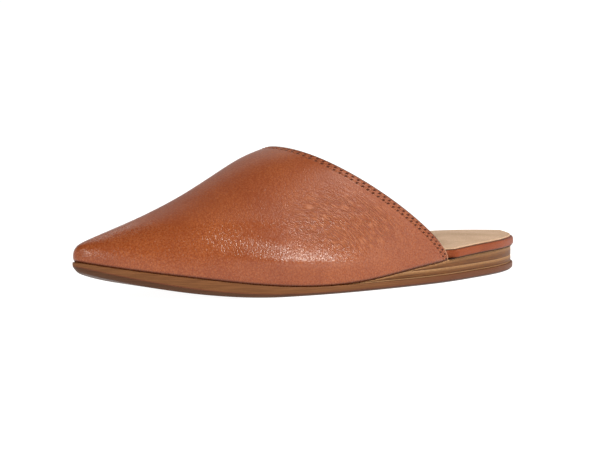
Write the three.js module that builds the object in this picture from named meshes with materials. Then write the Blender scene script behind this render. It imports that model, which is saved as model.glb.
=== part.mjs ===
// A left mule shoe: a lined, pointed leather vamp on a thin sole with a low stacked heel,
// and a footbed whose edge is wrapped in leather.
// Millimetres. +X points to the toe, +Y to the outer (lateral) side and +Z up.
// The shoe stands unbent on z = 0, with the middle of its bounding box above the origin.
import * as THREE from 'three';

// ---- Driving dimensions ----
const WALL = 2.0;              // vamp leather and its lining together
const GAP = 0.3;               // left between pieces that touch

const OUTSOLE_THICKNESS = 4.0; // under the heel
const LOWER_LIFT_TOP = 7.2;    // height of the lower lift's top at the heel
const LIFT_NOSE = 0.5;         // thickness at which a lift is cut off in front
const SPRING_START = 181;      // x where the sole leaves the floor
const TOE_TIP = 273;           // x of the sole's tip
const TOE_SPRING = 14.3;       // how far the tip stands off the floor

const SOLE_LIP = 0.5;          // the outsole stands this far outside the last's feather edge
const LIFT_INSET = 0.6;        // the lifts are trimmed this far inside it
const BAND_LIP = 0.8;          // the wrapped footbed edge stands this far outside it
const EDGE_INSET = 1.1;        // the sole's lower edge is trimmed this far inside it ...
const EDGE_INSET_AT_TOE = 2.2; // ... and this far round the toe
const EDGE_HEIGHT = 1.3;       // height of that trimmed edge at the heel ...
const EDGE_HEIGHT_AT_TOE = 3.2;// ... and round the toe

const INSOLE_AT_HEEL = 4.6;    // thickness of the footbed with its padding
const INSOLE_AT_BALL = 3.0;
const INSOLE_ROUND = 0.9;      // rounding of its wrapped edge
const INSOLE_CLEARANCE = 0.5;  // between its edge and the inside of the vamp
const SOCK_THICKNESS = 0.8;
const SOCK_INSET = 1.6;        // from the footbed's edge

const OUTLINE_STEPS = 64;      // stations along a sole piece
const VAMP_STEPS = 44;         // stations along the vamp
const RIB_STEPS = 18;          // steps up each side of the vamp

// ---- The last ----
// Both tables are control rows of a uniform cubic B-spline, from the toe tip back.
function table(columns, ...rows) {
  return rows.map((row) => Object.fromEntries(columns.map((name, index) => [name, row[index]])));
}

// Feather edge, where the last meets the sole: y on the lateral and on the medial side, and
// seat, the height above the floor of what the last stands on.
const FEATHER = table(
  ['x', 'lateral', 'medial', 'seat'],
  [276, -7.2, -7.2, 20.4],
  [268, 1.0, -15.6, 18.4],
  [248, 14.0, -24.4, 14.7],
  [224, 26.2, -31.0, 10.9],
  [198, 36.6, -36.6, 6.8],
  [170, 43.8, -36.8, 4.1],
  [139, 46.6, -31.6, 4.1],
  [104, 45.6, -27.0, 8.8],
  [77, 43.6, -26.2, 11.5],
  [52, 36.6, -27.6, 12.6],
  [28, 30.2, -28.8, 12.8],
  [5.6, 16.6, -16.8, 12.8],
  [-2.2, 0, 0, 12.8],
);

// One rib of the vamp for each of the first nine stations, the last being the topline.
// The ridge is the rib's top. rise is how steeply each side stands up from the feather edge,
// crown is how far it runs level across the ridge, and fan leans the toe ribs forward.
const RIBS = table(
  ['ridgeX', 'ridgeY', 'ridgeZ', 'riseLateral', 'riseMedial', 'crownLateral', 'crownMedial', 'fan'],
  [264.0, -7.2, 30.6, 8.6, 8.6, 0.0, 0.0, 8],
  [257.0, -7.0, 32.3, 8.8, 9.0, 4.4, 4.2, 6],
  [242.0, -6.2, 36.9, 11.4, 11.2, 9.9, 8.2, 3],
  [224.5, -5.2, 42.9, 13.7, 13.5, 15.6, 12.6, 0],
  [207.1, -4.4, 49.5, 15.3, 15.5, 21.9, 17.9, 0],
  [192.2, -3.6, 56.1, 15.8, 17.1, 28.7, 24.1, 0],
  [179.7, -3.1, 62.1, 15.2, 18.0, 36.1, 31.2, 0],
  [167.4, -2.8, 67.1, 13.6, 18.3, 43.8, 38.9, 0],
  [152.1, -2.7, 70.3, 11.4, 18.2, 51.7, 47.2, 0],
);
const FEATHER_BULGE = 2.0;     // how far a rib swells outward just above the feather edge
const FAN_FALL = 0.4;          // slope of the toe ribs at the ridge

const HEEL = FEATHER.length - 1;
const TOPLINE = RIBS.length - 1;
const WAIST = 6;               // station under the waist, ahead of both lifts

// ---- Splines ----
// A point of the B-spline whose control vectors control(k) gives, at station t.
function splineAt(control, t, last) {
  const k = Math.min(Math.floor(t), last - 1);
  const u = t - k;
  const weights = [
    (1 - u) ** 3,
    3 * u ** 3 - 6 * u ** 2 + 4,
    -3 * u ** 3 + 3 * u ** 2 + 3 * u + 1,
    u ** 3,
  ];
  const rows = [control(k - 1), control(k), control(k + 1), control(k + 2)];
  return rows[0].map((_, i) => rows.reduce((sum, row, j) => sum + (row[i] * weights[j]) / 6, 0));
}

// Past the toe tip or the heel the outline goes on along the other side of the shoe.
function featherControl(side, k) {
  if (k < 0) return featherControl(-side, -k);
  if (k > HEEL) return featherControl(-side, 2 * HEEL - k);
  const row = FEATHER[k];
  return [row.x, side > 0 ? row.lateral : row.medial, row.seat];
}

function featherAt(side, t) {
  const [x, y, seat] = splineAt((k) => featherControl(side, k), t, HEEL);
  return { x, y, seat };
}

// Outward direction of the outline, level with the floor.
function outwardAt(side, t) {
  const step = 1e-3;
  const before = t < step ? featherAt(-side, step - t) : featherAt(side, t - step);
  const after = t > HEEL - step ? featherAt(-side, 2 * HEEL - t - step) : featherAt(side, t + step);
  const length = side * Math.hypot(after.x - before.x, after.y - before.y);
  return { x: (after.y - before.y) / length, y: (before.x - after.x) / length };
}

// The station where falling(t) has come down to zero.
function stationWhere(falling, from, to) {
  let [low, high] = [from, to];
  for (let i = 0; i < 40; i += 1) {
    const middle = (low + high) / 2;
    if (falling(middle) > 0) low = middle;
    else high = middle;
  }
  return low;
}

const stationAtX = (x) => stationWhere((t) => featherAt(1, t).x - x, 0, HEEL);

// ---- Bodies from patches of points ----
// A patch is a grid of points. Seen from outside, its rows go up and its columns to the right,
// or the other way about where it is flipped.
function addPatch(corners, grid, flip = false) {
  for (let i = 0; i + 1 < grid.length; i += 1) {
    for (let j = 0; j + 1 < grid[i].length; j += 1) {
      const quad = [grid[i][j], grid[i][j + 1], grid[i + 1][j + 1], grid[i + 1][j]];
      if (flip) quad.reverse();
      corners.push([quad[0], quad[1], quad[2]], [quad[0], quad[2], quad[3]]);
    }
  }
}

// Welds equal points and leaves out triangles that have shrunk to a line.
function weld(triangles) {
  const indexOf = new Map();
  const positions = [];
  const index = [];
  const weldPoint = (point) => {
    const key = point.toArray().map((value) => Math.round(value * 1e4)).join();
    if (!indexOf.has(key)) {
      indexOf.set(key, indexOf.size);
      positions.push(point.x, point.y, point.z);
    }
    return indexOf.get(key);
  };
  for (const triangle of triangles) {
    const [a, b, c] = triangle.map(weldPoint);
    if (a !== b && b !== c && c !== a) index.push(a, b, c);
  }
  const geometry = new THREE.BufferGeometry();
  geometry.setAttribute('position', new THREE.Float32BufferAttribute(positions, 3));
  geometry.setIndex(index);
  geometry.computeVertexNormals();
  geometry.userData.indexOfPoint = weldPoint;
  return geometry;
}

function piece(name, material, geometry) {
  const mesh = new THREE.Mesh(geometry, material);
  mesh.name = name;
  return mesh;
}

// A layer of the sole or footbed. edges lists its rim from the bottom up: each has an outset
// from the feather edge and a height, both worked out at a station. noses are extra stations.
function layer(from, edges, noses = []) {
  const step = (HEEL - from) / OUTLINE_STEPS;
  const even = Array.from({ length: OUTLINE_STEPS + 1 }, (_, i) => from + step * i);
  const stations = [...even, ...noses].sort((a, b) => a - b);
  const rimPoint = (side, t, edge) => {
    const { x, y } = featherAt(side, t);
    const outward = outwardAt(side, t);
    const outset = edge.outset(t);
    return new THREE.Vector3(x + outward.x * outset, y + outward.y * outset, edge.height(t));
  };
  const rims = edges.map((edge) => ({
    lateral: stations.map((t) => rimPoint(1, t, edge)),
    medial: stations.map((t) => rimPoint(-1, t, edge)),
  }));
  const triangles = [];
  const around = ({ lateral, medial }) => [...lateral, ...medial.toReversed(), lateral[0]];
  addPatch(triangles, rims.map(around));
  const across = ({ lateral, medial }) => lateral.map((point, i) => [point, medial[i]]);
  addPatch(triangles, across(rims.at(-1)), true);
  addPatch(triangles, across(rims[0]));
  return weld(triangles);
}

// ---- Sole ----
const smooth = (from, to, t) => THREE.MathUtils.smoothstep(t, from, to);
const seatAt = (t) => featherAt(1, t).seat;
const soleTopAt = (t) => seatAt(t) - GAP;

function floorAt(t) {
  const ahead = Math.max(0, (featherAt(1, t).x - SPRING_START) / (TOE_TIP - SPRING_START));
  return TOE_SPRING * ahead ** 2;
}

// A lift that lies on the level starts, in front, where it would be thinner than its nose.
function liftFront(level) {
  const nose = stationWhere((t) => level + LIFT_NOSE + 2 * GAP - seatAt(t), WAIST, HEEL);
  return featherAt(1, nose).x;
}

// What lies under a lift is level behind the lift's front and follows the seat ahead of it.
function rebate(front, level) {
  const foot = stationAtX(front + GAP);
  const shoulder = stationAtX(front + 2 * GAP);
  return {
    stations: [shoulder, foot],
    height: (t) => {
      const risen = THREE.MathUtils.clamp((foot - t) / (foot - shoulder), 0, 1);
      return THREE.MathUtils.lerp(level, soleTopAt(t), risen);
    },
  };
}

const lowerFront = liftFront(OUTSOLE_THICKNESS);
const upperFront = liftFront(LOWER_LIFT_TOP);

function makeOutsole(material) {
  const top = rebate(lowerFront, OUTSOLE_THICKNESS);
  const fromToe = (t, atToe, atBack) => THREE.MathUtils.lerp(atToe, atBack, smooth(1, 5, t));
  const inset = (t) => fromToe(t, EDGE_INSET_AT_TOE, EDGE_INSET);
  const trimmed = (t) => fromToe(t, EDGE_HEIGHT_AT_TOE, EDGE_HEIGHT);
  const geometry = layer(0, [
    { outset: (t) => -inset(t), height: floorAt },
    { outset: () => SOLE_LIP, height: (t) => floorAt(t) + trimmed(t) },
    { outset: () => SOLE_LIP, height: top.height },
  ], top.stations);
  return piece('outsole', material, geometry);
}

function makeLift(name, material, front, level, top) {
  const outset = () => -LIFT_INSET;
  const edges = [{ outset, height: () => level + GAP }, { outset, height: top.height }];
  return piece(name, material, layer(stationAtX(front), edges, top.stations));
}

// ---- Footbed ----
const WING = TOPLINE + 0.08;   // station just behind the vamp's lower ends
const WING_END = TOPLINE + 0.3;
const INSOLE_TOE = 0.3;        // the footbed stops just short of the tip of the vamp ...
const SOCK_TOE = 0.6;          // ... and the sock a little sooner

// Under the vamp the footbed's edge stays inside the wall; behind it, it becomes the band.
function insoleOutset(t) {
  const insideWall = -WALL - INSOLE_CLEARANCE;
  return THREE.MathUtils.lerp(insideWall, BAND_LIP, smooth(WING, WING_END, t));
}

function insoleTopAt(t) {
  const thickness = THREE.MathUtils.lerp(INSOLE_AT_BALL, INSOLE_AT_HEEL, smooth(WAIST, TOPLINE, t));
  return seatAt(t) + thickness;
}

function makeInsole(material) {
  const rounded = (t) => insoleOutset(t) - INSOLE_ROUND;
  return piece('insole', material, layer(INSOLE_TOE, [
    { outset: rounded, height: seatAt },
    { outset: insoleOutset, height: (t) => seatAt(t) + INSOLE_ROUND },
    { outset: insoleOutset, height: (t) => insoleTopAt(t) - INSOLE_ROUND },
    { outset: rounded, height: insoleTopAt },
  ]));
}

function makeSock(material) {
  const outset = (t) => insoleOutset(t) - SOCK_INSET;
  return piece('sock', material, layer(SOCK_TOE, [
    { outset, height: (t) => insoleTopAt(t) + GAP },
    { outset, height: (t) => insoleTopAt(t) + GAP + SOCK_THICKNESS },
  ]));
}

// ---- Vamp ----
// Control row of a rib: its four Bezier points, from the feather edge up to the ridge.
function ribControl(side, k) {
  if (k < 0) return ribControl(-side, -k);
  const foot = new THREE.Vector3(...featherControl(side, k));
  if (k > TOPLINE) {
    const before = ribControl(side, TOPLINE - 1);
    const beyond = ribControl(side, TOPLINE).map((value, i) => 2 * value - before[i]);
    return [...foot.toArray(), ...beyond.slice(3)];
  }
  const rib = RIBS[k];
  const rise = side > 0 ? rib.riseLateral : rib.riseMedial;
  const crown = side > 0 ? rib.crownLateral : rib.crownMedial;
  const [aheadX, aheadY] = featherControl(side, k - 1);
  const [behindX, behindY] = featherControl(side, k + 1);
  const outward = new THREE.Vector3(behindY - aheadY, aheadX - behindX, 0);
  outward.multiplyScalar(side).setLength(FEATHER_BULGE);
  const swell = foot.clone().add(outward).add(new THREE.Vector3(0, 0, rise));
  const ridge = new THREE.Vector3(rib.ridgeX, rib.ridgeY, rib.ridgeZ);
  const shoulder = ridge.clone().add(new THREE.Vector3(rib.fan, side * crown, -FAN_FALL * rib.fan));
  return [foot, swell, shoulder, ridge].flatMap((point) => point.toArray());
}

function ribAt(side, t) {
  const values = splineAt((k) => ribControl(side, k), t, TOPLINE);
  const points = [0, 3, 6, 9].map((i) => new THREE.Vector3(...values.slice(i, i + 3)));
  return new THREE.CubicBezierCurve3(...points);
}

// The outside runs from the lateral feather edge over the ridge to the medial one. The lining
// side is the same grid moved in by the wall, and level with the sole along the feather edge.
function makeUpper(material) {
  const outside = [];
  for (let i = 0; i <= VAMP_STEPS; i += 1) {
    const t = (TOPLINE * i) / VAMP_STEPS;
    const [lateral, medial] = [1, -1].map((side) => ribAt(side, t).getPoints(RIB_STEPS));
    outside.push([...lateral, ...medial.toReversed().slice(1)]);
  }
  const skin = [];
  addPatch(skin, outside, true);
  const geometry = weld(skin);
  const normals = geometry.getAttribute('normal');
  const lining = outside.map((row, i) => row.map((point, j) => {
    const index = geometry.userData.indexOfPoint(point);
    const normal = new THREE.Vector3().fromBufferAttribute(normals, index);
    if (j === 0 || j === row.length - 1) {
      const outward = outwardAt(j === 0 ? 1 : -1, (TOPLINE * i) / VAMP_STEPS);
      normal.set(outward.x, outward.y, 0);
    }
    return point.clone().addScaledVector(normal, -WALL);
  }));

  const triangles = [...skin];
  const column = (grid, j) => grid.map((row) => row.at(j));
  addPatch(triangles, lining);
  addPatch(triangles, [outside.at(-1), lining.at(-1)], true);
  addPatch(triangles, [column(outside, 0), column(lining, 0)], true);
  addPatch(triangles, [column(outside, -1), column(lining, -1)]);
  return piece('upper', material, weld(triangles));
}

// ---- Materials ----
const finish = (color, roughness) => new THREE.MeshStandardMaterial({ color, roughness, metalness: 0 });
const tanLeather = finish('#b0694a', 0.5);
const soleRubber = finish('#7a4a33', 0.6);
const stackedLift = finish('#84603c', 0.6);
const wrapLeather = finish('#b8623c', 0.5);
const sockLeather = finish('#cdb08d', 0.6);

// ---- Assembly ----
const underUpperLift = rebate(upperFront, LOWER_LIFT_TOP);
const underSeat = { height: soleTopAt, stations: [] };
const sole = new THREE.Group();
sole.add(
  makeOutsole(soleRubber),
  makeLift('heel_lift_lower', stackedLift, lowerFront, OUTSOLE_THICKNESS, underUpperLift),
  makeLift('heel_lift_upper', stackedLift, upperFront, LOWER_LIFT_TOP, underSeat),
);
const footbed = new THREE.Group();
footbed.add(makeInsole(wrapLeather), makeSock(sockLeather));

const shoe = new THREE.Group();
shoe.add(sole, footbed, makeUpper(tanLeather));
const middle = new THREE.Box3().setFromObject(shoe).getCenter(new THREE.Vector3());
shoe.position.set(-middle.x, -middle.y, 0);

export default shoe;
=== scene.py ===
# %% [markdown]
# # A left mule shoe
#
# A mule is a backless shoe: a leather vamp over the forefoot, a thin sole, a low stacked heel,
# and a footbed whose edge is wrapped in leather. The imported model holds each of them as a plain
# solid, already in its place. This lesson builds what shows over those solids, the way a
# shoemaker would lay them up: sole, heel, footbed, vamp, lining, and last the stitching.

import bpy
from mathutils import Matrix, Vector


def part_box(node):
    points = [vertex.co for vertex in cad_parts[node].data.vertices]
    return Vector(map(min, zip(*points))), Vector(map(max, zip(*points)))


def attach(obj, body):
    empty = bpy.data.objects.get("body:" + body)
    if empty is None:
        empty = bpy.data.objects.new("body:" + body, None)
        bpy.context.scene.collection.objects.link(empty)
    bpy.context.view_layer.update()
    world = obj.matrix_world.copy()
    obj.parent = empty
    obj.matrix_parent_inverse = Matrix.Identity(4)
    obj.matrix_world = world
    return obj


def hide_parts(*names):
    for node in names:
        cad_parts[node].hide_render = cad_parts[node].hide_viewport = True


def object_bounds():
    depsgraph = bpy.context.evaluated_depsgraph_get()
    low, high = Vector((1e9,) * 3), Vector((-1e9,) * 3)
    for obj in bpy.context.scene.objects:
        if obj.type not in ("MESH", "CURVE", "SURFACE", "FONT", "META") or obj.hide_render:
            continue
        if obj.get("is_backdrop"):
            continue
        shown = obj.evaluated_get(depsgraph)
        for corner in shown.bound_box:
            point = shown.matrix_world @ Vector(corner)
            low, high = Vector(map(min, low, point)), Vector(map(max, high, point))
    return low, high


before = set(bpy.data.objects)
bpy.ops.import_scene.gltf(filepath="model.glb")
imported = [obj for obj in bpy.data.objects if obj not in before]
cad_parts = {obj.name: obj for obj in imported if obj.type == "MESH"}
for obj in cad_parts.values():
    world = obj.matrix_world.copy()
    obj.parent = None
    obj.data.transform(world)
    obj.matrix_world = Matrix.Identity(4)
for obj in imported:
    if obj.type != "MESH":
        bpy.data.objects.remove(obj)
cad_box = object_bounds()
print("CAD box, mm:", [[round(value * 1000, 1) for value in corner] for corner in cad_box])

# %% [markdown]
# ## The last
#
# A shoe is built round a last, a foot-shaped block, so every surface here is worked out from
# one. Two small tables hold it: the feather edge, where the last meets the sole, and a set of
# ribs that stand on it and carry the vamp. A smooth B-spline runs through the rows, so a few
# rows are enough, and a row can be changed by hand without making a dent.

# %% Two tables, in millimetres
import bpy
import numpy as np

MM = 0.001


def table(columns, *rows):
    """Rows of numbers as one array for each named column."""
    return dict(zip(columns.split(), np.array(rows, float).T))


# From the toe tip back to the heel. seat is the height of what the last stands on.
FEATHER = table(
    "x lateral medial seat",
    (276, -7.2, -7.2, 20.4),
    (268, 1.0, -15.6, 18.4),
    (248, 14.0, -24.4, 14.7),
    (224, 26.2, -31.0, 10.9),
    (198, 36.6, -36.6, 6.8),
    (170, 43.8, -36.8, 4.1),
    (139, 46.6, -31.6, 4.1),
    (104, 45.6, -27.0, 8.8),
    (77, 43.6, -26.2, 11.5),
    (52, 36.6, -27.6, 12.6),
    (28, 30.2, -28.8, 12.8),
    (5.6, 16.6, -16.8, 12.8),
    (-2.2, 0, 0, 12.8),
)
# One rib for each of the first nine stations, the last being the topline.
RIBS = table(
    "ridge_x ridge_y ridge_z rise_lateral rise_medial crown_lateral crown_medial fan",
    (264.0, -7.2, 30.6, 8.6, 8.6, 0.0, 0.0, 8),
    (257.0, -7.0, 32.3, 8.8, 9.0, 4.4, 4.2, 6),
    (242.0, -6.2, 36.9, 11.4, 11.2, 9.9, 8.2, 3),
    (224.5, -5.2, 42.9, 13.7, 13.5, 15.6, 12.6, 0),
    (207.1, -4.4, 49.5, 15.3, 15.5, 21.9, 17.9, 0),
    (192.2, -3.6, 56.1, 15.8, 17.1, 28.7, 24.1, 0),
    (179.7, -3.1, 62.1, 15.2, 18.0, 36.1, 31.2, 0),
    (167.4, -2.8, 67.1, 13.6, 18.3, 43.8, 38.9, 0),
    (152.1, -2.7, 70.3, 11.4, 18.2, 51.7, 47.2, 0),
)
LATERAL, MEDIAL = 1, -1
SIDE_NAMES = {LATERAL: "lateral", MEDIAL: "medial"}
TOPLINE = len(RIBS["fan"]) - 1
HEEL = len(FEATHER["x"]) - 1
print("stations: topline at", TOPLINE, "and heel at", HEEL)

# %% The spline through the rows
def spline(rows, t, slope=False):
    """Points of a uniform cubic B-spline at stations t, or its slope. rows[0] lies before 0."""
    t = np.asarray(t, float)
    k = np.clip(t.astype(int), 0, len(rows) - 4)
    u = (t - k)[..., None]
    weights = (
        (1 - u) ** 3,
        3 * u**3 - 6 * u**2 + 4,
        -3 * u**3 + 3 * u**2 + 3 * u + 1,
        u**3,
    )
    if slope:
        weights = (-3 * (1 - u) ** 2, 9 * u**2 - 12 * u, -9 * u**2 + 6 * u + 3, 3 * u**2)
    return sum(weight * rows[k + i] for i, weight in enumerate(weights)) / 6


def feather_rows(side):
    """The feather edge's rows, going on along the other side past both ends."""
    own, other = (
        np.stack([FEATHER["x"], FEATHER[SIDE_NAMES[s]], FEATHER["seat"]], axis=1)
        for s in (side, -side)
    )
    return np.vstack([other[1], own, other[-2]])


def feather(side, t):
    return spline(feather_rows(side), t)


def outward(side, t):
    """The level direction out of the shoe at the feather edge."""
    slope = spline(feather_rows(side), t, slope=True)
    level = np.stack([slope[..., 1], -slope[..., 0], 0 * slope[..., 0]], axis=-1) * side
    return level / np.linalg.norm(level, axis=-1, keepdims=True)


print("waist, mm:", feather(LATERAL, 6).round(1), feather(MEDIAL, 6).round(1))

# %% Where the last stands in the model
SOLE_LIP = 0.5  # the outsole stands this far outside the feather edge


def find_origin():
    """What to add to a point of the last, in mm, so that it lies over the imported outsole."""
    t = np.linspace(0, HEEL, 2001)
    rim = np.vstack([feather(s, t) + SOLE_LIP * outward(s, t) for s in (LATERAL, MEDIAL)])
    own_middle = (rim.min(axis=0) + rim.max(axis=0)) / 2
    packed_middle = (np.array(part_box("outsole")[0]) + np.array(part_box("outsole")[1])) / 2 / MM
    return np.array([*(packed_middle - own_middle)[:2], 0])


ORIGIN = find_origin()
print("the last's origin, mm:", ORIGIN.round(2))

# %% [markdown]
# ## The camera, the floor and the light
#
# The shoe is looked at from in front of its outer side, from just above the floor and from far
# off through a long lens, which keeps its proportions true. It stands on a white sweep with
# white all round, dimmer overhead. A large low softbox beside the heel lights the outer side and
# another fills the toe. A small one, high up towards the heel, draws the highlight on the swell
# of the vamp, and a wide one behind the shoe draws the pale line along the crest. The floor
# glows, as a light table does.

# %% Camera
from mathutils import Vector

AIM = (ORIGIN + [140, 0, 30]) * MM
CAMERA_TURN = np.radians(39.13)  # from the outer side towards the toe
CAMERA_RISE = np.radians(5.5)
CAMERA_DISTANCE = 1.477
LENS_TO_SENSOR = 4.855


def direction(turn, rise):
    """The way from the shoe to something round it. Turn goes from the outer side to the toe."""
    return np.array([np.sin(turn) * np.cos(rise), np.cos(turn) * np.cos(rise), np.sin(rise)])


def look_from(thing, turn, rise, distance):
    back = direction(turn, rise)
    thing.location = AIM + back * distance
    thing.rotation_euler = Vector(-back).to_track_quat("-Z", "Y").to_euler()
    bpy.context.scene.collection.objects.link(thing)
    return thing


camera = look_from(
    bpy.data.objects.new("camera", bpy.data.cameras.new("camera")),
    CAMERA_TURN, CAMERA_RISE, CAMERA_DISTANCE,
)
camera.data.sensor_width = 36
camera.data.lens = 36 * LENS_TO_SENSOR
camera.data.clip_end = 20
bpy.context.scene.camera = camera
bpy.context.scene.view_settings.view_transform = "Standard"
print("lens, mm:", round(camera.data.lens, 1))

# %% Small helpers for nodes
def add_node(tree, kind, settings=None, **inputs):
    """A node with its sockets set, or linked where the value is another node's socket."""
    made = tree.nodes.new("ShaderNode" + kind)
    for name, value in (settings or {}).items():
        setattr(made, name, value)
    for name, value in inputs.items():
        key = int(name[1:]) if name[0] == "_" else name.replace("_", " ")
        if isinstance(value, bpy.types.NodeSocket):
            tree.links.new(value, made.inputs[key])
        else:
            made.inputs[key].default_value = value
    return made


def mixed(tree, factor, first, second):
    """One colour turning into another as factor goes from 0 to 1."""
    node = add_node(tree, "Mix", {"data_type": "RGBA"}, _0=factor, _6=first, _7=second)
    return node.outputs[2]


def stepped(tree, value, start, end, low=0.0, high=1.0):
    """low up to start, high from end on, and a smooth step between."""
    node = add_node(
        tree, "MapRange", {"interpolation_type": "SMOOTHSTEP"},
        Value=value, From_Min=start, From_Max=end, To_Min=low, To_Max=high,
    )
    return node.outputs["Result"]


def computed(tree, operation, first, second=0.0):
    return add_node(tree, "Math", {"operation": operation}, _0=first, _1=second).outputs[0]


def attribute(tree, name):
    """A named mark that the mesh carries on its points."""
    return add_node(tree, "Attribute", {"attribute_name": name}).outputs["Fac"]


# %% Floor, sky and lights
LAMP_COLOUR = (1, 0.95, 0.88)


def light_from(name, turn, rise, distance, size, power):
    lamp = bpy.data.lights.new(name, "AREA")
    lamp.shape = "RECTANGLE"
    lamp.size, lamp.size_y = size
    lamp.energy = power
    lamp.color = LAMP_COLOUR
    look_from(bpy.data.objects.new(name, lamp), np.radians(turn), np.radians(rise), distance)


def make_sweep():
    mesh = bpy.data.meshes.new("floor")
    reach = 8
    corners = [(-reach, -reach, 0), (reach, -reach, 0), (reach, reach, 0), (-reach, reach, 0)]
    mesh.from_pydata(corners, [], [(0, 1, 2, 3)])
    floor = bpy.data.objects.new("floor", mesh)
    floor.location.z = -0.0001
    bpy.context.scene.collection.objects.link(floor)
    paper = bpy.data.materials.new("white_paper")
    paper.use_nodes = True
    shader = paper.node_tree.nodes["Principled BSDF"]
    shader.inputs["Base Color"].default_value = (0.3, 0.3, 0.3, 1)
    shader.inputs["Roughness"].default_value = 0.9
    shader.inputs["Specular IOR Level"].default_value = 0.0
    shader.inputs["Emission Color"].default_value = (1, 1, 1, 1)
    shader.inputs["Emission Strength"].default_value = 0.97
    mesh.materials.append(paper)
    floor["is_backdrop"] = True


def make_sky():
    """White all round at eye level, dimmer overhead."""
    world = bpy.data.worlds.new("studio")
    world.use_nodes = True
    tree = world.node_tree
    way = add_node(tree, "TexCoord").outputs["Generated"]
    height = add_node(tree, "SeparateXYZ", Vector=way).outputs["Z"]
    overhead = stepped(tree, height, 0.15, 0.65)
    tint = mixed(tree, overhead, (1, 1, 1, 1), (0.1, 0.1, 0.1, 1))
    tree.links.new(tint, tree.nodes["Background"].inputs["Color"])
    bpy.context.scene.world = world


make_sweep()
make_sky()
light_from("side_light", -22, 12, 1.3, (0.9, 0.4), 2.8)
light_from("toe_light", 58, 28, 1.2, (0.4, 0.3), 5.5)
light_from("swell_light", -46, 45, 1.2, (0.16, 0.2), 9.5)
light_from("crest_light", -155, 45, 1.2, (0.8, 0.2), 1.3)

# %% [markdown]
# ## Patches
#
# Every piece is put together from patches, grids of points that meet along their edges: a top,
# a wall, an underside. One function welds them into a closed body, hands it to the frame and
# names its finish. Numbers that a finish needs, such as how far a point lies from an edge, are
# carried on the points themselves as named marks, so they stay right when the mesh is exported.

# %% Build a piece from patches
import bmesh


def patch(points, flip=False, finish=0, **marks):
    """Rows go up and columns to the right, seen from outside, or the other way if flipped."""
    return {"points": np.asarray(points, float), "flip": flip, "finish": finish, "marks": marks}


def patch_quads(rows, columns, flip):
    index = np.arange(rows * columns).reshape(rows, columns)
    corners = [index[:-1, :-1], index[:-1, 1:], index[1:, 1:], index[1:, :-1]]
    quads = np.stack(corners, axis=-1).reshape(-1, 4)
    return quads[:, ::-1] if flip else quads


def build(name, patches, finishes, replaces=()):
    """One welded piece of the shoe, riding on the model."""
    points, quads, finish_of, start = [], [], [], 0
    for part in patches:
        rows, columns = part["points"].shape[:2]
        points.append(part["points"].reshape(-1, 3))
        quads.append(patch_quads(rows, columns, part["flip"]) + start)
        finish_of += [part["finish"]] * len(quads[-1])
        start += rows * columns
    mesh = bpy.data.meshes.new(name)
    mesh.from_pydata(((np.vstack(points) + ORIGIN) * MM).tolist(), [], np.vstack(quads).tolist())
    mesh.polygons.foreach_set("material_index", finish_of)
    mesh.polygons.foreach_set("use_smooth", [True] * len(finish_of))
    for mark in sorted({mark for part in patches for mark in part["marks"]}):
        values = [
            np.broadcast_to(part["marks"].get(mark, 0.0), part["points"].shape[:2]).ravel()
            for part in patches
        ]
        layer = mesh.attributes.new(mark, "FLOAT", "POINT")
        layer.data.foreach_set("value", np.concatenate(values).astype(np.float32))
    weld(mesh)
    for finish in finishes:
        mesh.materials.append(finish)
    made = bpy.data.objects.new(name, mesh)
    bpy.context.scene.collection.objects.link(made)
    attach(made, "root")
    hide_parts(*replaces)
    print(f"{name}: {len(mesh.polygons)} faces")
    return made


def weld(mesh):
    body = bmesh.new()
    body.from_mesh(mesh)
    bmesh.ops.remove_doubles(body, verts=body.verts, dist=0.004 * MM)
    bmesh.ops.dissolve_degenerate(body, edges=body.edges, dist=0.001 * MM)
    body.to_mesh(mesh)
    body.free()


# %% [markdown]
# ## Layers of the sole
#
# Outsole, lifts, footbed and sock are all cut to the same outline and differ in how far they
# stand out from it and how thick they are. So one function makes a layer from the profile of
# its edge, a short list from the bottom up. Rounded corners are a few points of the profile:
# that is real shape, which catches light, where a bevel drawn in the finish would not.

# %% A layer from the profile of its edge
def smooth(start, end, t):
    q = np.clip((t - start) / (end - start), 0, 1)
    return q * q * (3 - 2 * q)


def lerp(first, second, q):
    return first + (second - first) * q


def rim(side, t, outset, height):
    points = feather(side, t) + outward(side, t) * np.asarray(outset)[..., None]
    points[..., 2] = height
    return points


def layer(stations, profile, top=None, under=None, across=2, wall_marks=None):
    """Patches of a closed layer. profile lists outset and height, each a number or a function
    of the station. top and under bend the two faces: each gives a lift from point and share
    across, and is 0 at the rim."""
    at = lambda value: value(stations) if callable(value) else np.full(len(stations), value)
    rims = [
        {side: rim(side, stations, at(outset), at(height)) for side in SIDE_NAMES}
        for outset, height in profile
    ]
    loops = np.array([np.vstack([r[LATERAL], r[MEDIAL][::-1], r[LATERAL][:1]]) for r in rims])
    share = np.linspace(0, 1, across)

    def face(pair, bend):
        points = lerp(pair[LATERAL][:, None], pair[MEDIAL][:, None], share[None, :, None])
        if bend:
            points[..., 2] += bend(points, share[None, :])
        return points

    return [
        patch(loops, **(wall_marks or {})),
        patch(face(rims[-1], top), flip=True),
        patch(face(rims[0], under)),
    ]


# %% Heights of the stack
OUTSOLE_THICKNESS = 4.0
LOWER_LIFT_TOP = 7.2
SPRING_START, TOE_TIP, TOE_SPRING = 181, 273, 14.3


def seat(t):
    return feather(LATERAL, t)[..., 2]


def floor_at(t):
    """The sole's underside lifts off the floor towards the toe."""
    ahead = np.clip((feather(LATERAL, t)[..., 0] - SPRING_START) / (TOE_TIP - SPRING_START), 0, None)
    return TOE_SPRING * ahead**2


def station_where_seat_is(height):
    """Behind the waist the seat climbs to the heel, so each height there has one station."""
    t = np.linspace(5.6, 9.5, 800)
    return float(np.interp(height, seat(t), t))


def stations_from(start, count):
    return np.linspace(start, HEEL, count)


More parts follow.
